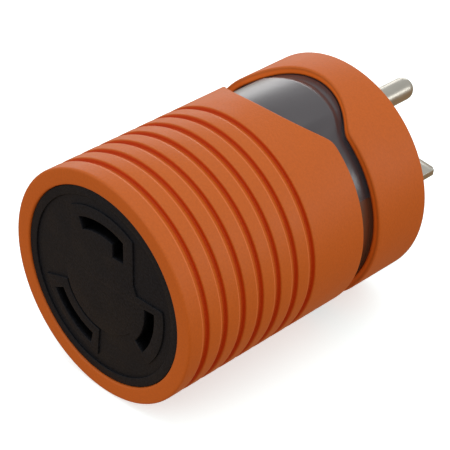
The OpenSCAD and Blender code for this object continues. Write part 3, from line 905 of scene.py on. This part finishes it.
class ADAPTER_OT_plug(bpy.types.Operator):
    """Makes the plug's black insert, the ground pin and both blades"""

    bl_idname = "adapter.plug"
    bl_label = "Plug"

    def execute(self, context):
        s = context.scene.adapter_plug
        nickel = drawn_metal("nickel_plated_brass", s.tint, 0.32, 0.3, 5.0)
        nylon = moulded_nylon("moulded_black_nylon_insert", context.scene.adapter_face.tint)
        level = s.ground_z - s.drop
        ground = turned([(0, s.ground_z)], PLUG_TURN)[0]
        self.insert(s, nylon, level, ground)
        self.pin(s, nickel, ground)
        flat = self.blade("neutral_blade_piece", s)
        self.set_blade(flat, nickel, (s.neutral_x, level), 0, "neutral_blade")
        upright = self.blade("hot_blade_piece", s)
        self.set_blade(upright, nickel, (-s.hot_x, level), math.pi / 2, "hot_blade")
        return {"FINISHED"}

    def insert(self, s, nylon, level, ground):
        """Disc flush with the plug end, pierced for the pin and the blades."""
        gap = 0.07 * MM
        wide, thick = s.blade_width + 2 * gap, s.blade_thickness + 2 * gap
        holes = [
            full_circle(s.root_radius + gap, ground, 48),
            turned(oblong((s.neutral_x, level), wide, thick), PLUG_TURN),
            turned(oblong((-s.hot_x, level), thick, wide), PLUG_TURN),
        ]
        disc = plate("plug_disc", [full_circle(CORE_R)] + holes, INSERT_LOW.y, REAR, 0.25 * MM)
        add_object("plug_disc", disc, nylon, "black_nylon", "plug_insert")

    def pin(self, s, nickel, ground):
        """Round pin with a domed end and a root as thick as its hole."""
        tip, r = PIN_TIP, s.pin_radius
        root_end = REAR - 0.05 * MM
        outline = [(INSERT_LOW.y, s.root_radius), (root_end, s.root_radius), (root_end, r)]
        outline += [(root_end + (tip - r - root_end) * k / 6, r) for k in range(1, 7)]
        outline += [
            (tip - r + r * math.sin(a), max(r * math.cos(a), 0.02 * MM))
            for a in (math.pi / 2 * k / 16 for k in range(1, 17))
        ]
        rings = hoops(outline, 64)
        moved = [[(x + ground[0], y, z + ground[1]) for x, y, z in ring] for ring in rings]
        mesh = skin("ground_pin_piece", moved, False)
        mesh.set_sharp_from_angle(angle=math.radians(50))
        add_object("ground_pin_piece", mesh, nickel, "nickel_brass", "ground_pin")

    def blade(self, name, s):
        """Stamped blade drawn about the axis: wide across, beveled and cornered at the tip."""
        w, t, e = s.blade_width / 2, s.blade_thickness / 2, s.edge
        tip = REAR + s.blade_length
        bevel, corner = 0.45 * MM, 1.0 * MM

        def band(half_w, half_t, y):
            outline = [
                (-half_w, -half_t, 0), (half_w, -half_t, e), (half_w, half_t, e),
                (-half_w, half_t, e), (-half_w, -half_t, e), (half_w, -half_t, 0),
            ]
            loop = rounded(outline, 3)[1:-1]
            return [(p[0], y, AXIS_Z + p[1]) for p in loop]

        rings = [band(w, t, y) for y in (INSERT_LOW.y, REAR, tip - 2 * corner, tip - corner)]
        # The corners and the bevel close in together over the last millimetre
        rings += [
            band(w - 0.35 * corner, t - 0.05 * MM, tip - 0.9 * MM),
            band(w - 0.8 * corner, t - 0.6 * bevel, tip - 0.3 * MM),
            band(w - corner, t - bevel, tip),
        ]
        mesh = skin(name, rings, False)
        mesh.set_sharp_from_angle(angle=math.radians(35))
        return mesh

    def set_blade(self, mesh, nickel, place, roll, node):
        """Turns a blade about its own middle, then into the plug's turn."""
        axis = Matrix.Translation((0, 0, AXIS_Z))
        turn = Matrix.Rotation(-PLUG_TURN, 4, "Y")
        mesh.transform(
            axis @ turn @ Matrix.Translation((place[0], 0, place[1]))
            @ Matrix.Rotation(roll, 4, "Y") @ axis.inverted()
        )
        add_object(mesh.name, mesh, nickel, "nickel_brass", node)


class ADAPTER_OT_inside(bpy.types.Operator):
    """Gives the contacts, wires, screws and indicator parts their finishes"""

    bl_idname = "adapter.inside"
    bl_label = "Inside"

    def execute(self, context):
        brass = drawn_metal("stamped_brass", linear("#C9A55A"), 0.34, 0.15, 2.5)
        bronze = drawn_metal("rolled_phosphor_bronze", linear("#C08A5C"), 0.3, 0.15, 2.5)
        steel = drawn_metal("zinc_plated_steel", linear("#B9BABC"), 0.36, 0.2, 0.6)
        tin = drawn_metal("tinned_copper", linear("#C8C8C4"), 0.4, 0.2, 0.6)
        block = moulded_nylon("moulded_dark_nylon", linear("#2E2C2E"))
        post = moulded_nylon("moulded_natural_nylon", linear("#D2D0C4"))
        resistor_y = self.middle("ballast_resistor")
        diode_y = self.middle("rectifier_diode")
        finishes = {
            "receptacle_base": block, "plug_retainer": block, "tie_posts": post,
            "ground_contact": brass, "neutral_contact": brass, "hot_contact": brass,
            "ground_leaf": bronze, "neutral_leaf": bronze, "hot_leaf": bronze,
            "face_screws": steel, "retainer_screws": steel, "tie_screws": steel,
            "wire_crimps": tin,
            "ground_wire": extruded_vinyl("extruded_green_vinyl", linear("#1E7A3C")),
            "neutral_wire": extruded_vinyl("extruded_white_vinyl", linear("#E6E5E0")),
            "hot_wire": extruded_vinyl("extruded_black_vinyl", linear("#161617")),
            "lamp_leads": extruded_vinyl("extruded_red_vinyl", linear("#A01E16")),
            "indicator_board": solder_mask("solder_mask_laminate", linear("#1F5C38")),
            "indicator_lamps": tinted_epoxy("cast_red_epoxy", linear("#D8402E")),
            "ballast_resistor": banded_lacquer(
                "lacquered_resistor", linear("#CDB98A"), linear("#6A3A1E"), resistor_y,
                (-2.0, -0.7, 0.6, 2.1)),
            "rectifier_diode": banded_lacquer(
                "moulded_diode", linear("#1A1A1B"), linear("#C9CACC"), diode_y, (1.9,)),
        }
        for node, material in finishes.items():
            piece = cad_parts[node]
            for slot in piece.material_slots:
                slot.material = material
        return {"FINISHED"}

    def middle(self, node):
        """Middle of a CAD node along the barrel."""
        low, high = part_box(node)
        return (low.y + high.y) / 2


class ADAPTER_OT_stage(bpy.types.Operator):
    """Makes the pale floor, the soft lights and the camera"""

    bl_idname = "adapter.stage"
    bl_label = "Stage"

    def execute(self, context):
        s = context.scene.adapter_stage
        self.floor(s)
        self.sky(context, s)
        self.light("key_light", (0.1, 0.1, 1.1), (1.0, 0.8), s.key_power)
        self.light("back_light", (-1.15, 0.95, 0.35), (1.5, 0.55), s.back_power)
        self.light("fill_light", (1.08, 0.83, 0.35), (0.8, 0.3), s.fill_power)
        self.light("front_light", (-0.4, -1.3, 0.45), (0.9, 0.6), s.front_power)
        self.camera(context, s)
        context.scene.view_settings.view_transform = "Standard"
        return {"FINISHED"}

    def floor(self, s):
        """Wide matt sheet under the adapter."""
        half = 3.0
        mesh = bpy.data.meshes.new("floor_sheet")
        corners = [(-half, -half, 0), (half, -half, 0), (half, half, 0), (-half, half, 0)]
        mesh.from_pydata(corners, [], [(0, 1, 2, 3)])
        mesh.materials.append(painted_floor("matt_painted_board", s.floor_tint, s.floor_glow))
        sheet = bpy.data.objects.new("floor_sheet", mesh)
        bpy.context.collection.objects.link(sheet)
        # Seen and shaded, but throws no light back up: the adapter's underside stays deep
        sheet.visible_diffuse = False
        sheet.visible_glossy = False

    def sky(self, context, s):
        """White light from above that fades to a dimmer light from below."""
        world = bpy.data.worlds.new("studio_sky")
        world.use_nodes = True
        tree = world.node_tree
        tree.nodes.clear()
        direction = add_node(tree, "ShaderNodeTexCoord", output="Generated")
        height = add_node(tree, "ShaderNodeSeparateXYZ", {"Vector": direction}, "Z")
        strength = add_node(tree, "ShaderNodeMapRange", {
            "Value": height, "From Min": -0.3, "From Max": 0.3, "To Min": s.ground,
            "To Max": s.sky,
        }, "Result", interpolation_type="SMOOTHSTEP")
        whiteness = add_node(tree, "ShaderNodeMapRange", {
            "Value": height, "From Min": -0.3, "From Max": 0.2,
        }, "Result")
        tone = add_node(tree, "ShaderNodeMix", {
            0: whiteness, 6: shade(s.ground_tint), 7: (1, 1, 1, 1)}, 2, data_type="RGBA")
        light = add_node(tree, "ShaderNodeBackground", {
            "Color": tone, "Strength": strength}, "Background")
        add_node(tree, "ShaderNodeOutputWorld", {"Surface": light})
        context.scene.world = world

    def light(self, name, place, size, power):
        """Large soft panel aimed at the barrel."""
        lamp = bpy.data.lights.new(name, "AREA")
        lamp.shape = "RECTANGLE"
        lamp.size, lamp.size_y = size
        lamp.energy = power
        panel = bpy.data.objects.new(name, lamp)
        panel.location = place
        aim = Vector((0, 0, AXIS_Z)) - Vector(place)
        panel.rotation_euler = aim.to_track_quat("-Z", "Y").to_euler()
        bpy.context.collection.objects.link(panel)

    def camera(self, context, s):
        """Long lens above and to the right of the receptacle end."""
        lens = bpy.data.cameras.new("camera")
        lens.sensor_width = 36
        lens.lens = s.lens
        camera = bpy.data.objects.new("camera", lens)
        # Place from the middle of the front face, in barrel radii, and the way it looks
        turn = Matrix.Rotation(math.radians(-1.5), 3, "Y")
        place = turn @ Vector((8.5677, -7.1609, 7.7162)) * BARREL_R
        ahead = turn @ Vector((-0.59665, 0.59365, -0.53999))
        up = turn @ Vector((0, 0, 1))
        right = ahead.cross(up).normalized()
        up = right.cross(ahead)
        camera.matrix_world = Matrix.Translation(place + Vector((0, FRONT, AXIS_Z))) @ Matrix(
            (right, up, -ahead)
        ).transposed().to_4x4()
        bpy.context.collection.objects.link(camera)
        context.scene.camera = camera


class ADAPTER_PT_panel(bpy.types.Panel):
    """Sidebar panel that lists the adapter's pieces and their settings"""

    bl_label = "Power Adapter"
    bl_idname = "ADAPTER_PT_panel"
    bl_space_type = "VIEW_3D"
    bl_region_type = "UI"
    bl_category = "Adapter"

    def draw(self, context):
        scene = context.scene
        for operator, group in STEPS:
            box = self.layout.box()
            box.operator(operator.bl_idname)
            if group is None:
                continue
            settings = getattr(scene, group[0])
            for name in group[1].__annotations__:
                box.prop(settings, name)


# Each operator with the scene property that holds its settings
STEPS = [
    (ADAPTER_OT_stage, ("adapter_stage", StageSettings)),
    (ADAPTER_OT_shells, ("adapter_shells", ShellSettings)),
    (ADAPTER_OT_lens, ("adapter_lens", LensSettings)),
    (ADAPTER_OT_receptacle, ("adapter_face", FaceSettings)),
    (ADAPTER_OT_plug, ("adapter_plug", PlugSettings)),
    (ADAPTER_OT_inside, None),
]


def register():
    """Adds the settings, the operators and the panel."""
    for operator, group in STEPS:
        if group is not None:
            bpy.utils.register_class(group[1])
            setattr(bpy.types.Scene, group[0], PointerProperty(type=group[1]))
        bpy.utils.register_class(operator)
    bpy.utils.register_class(ADAPTER_PT_panel)


def unregister():
    """Takes them away again, last first."""
    bpy.utils.unregister_class(ADAPTER_PT_panel)
    for operator, group in reversed(STEPS):
        bpy.utils.unregister_class(operator)
        if group is not None:
            delattr(bpy.types.Scene, group[0])
            bpy.utils.unregister_class(group[1])


def main():
    """Makes everything in order."""
    register()
    bpy.ops.adapter.stage()
    bpy.ops.adapter.shells()
    bpy.ops.adapter.lens()
    bpy.ops.adapter.receptacle()
    bpy.ops.adapter.plug()
    bpy.ops.adapter.inside()


if __name__ == "__main__":
    main()
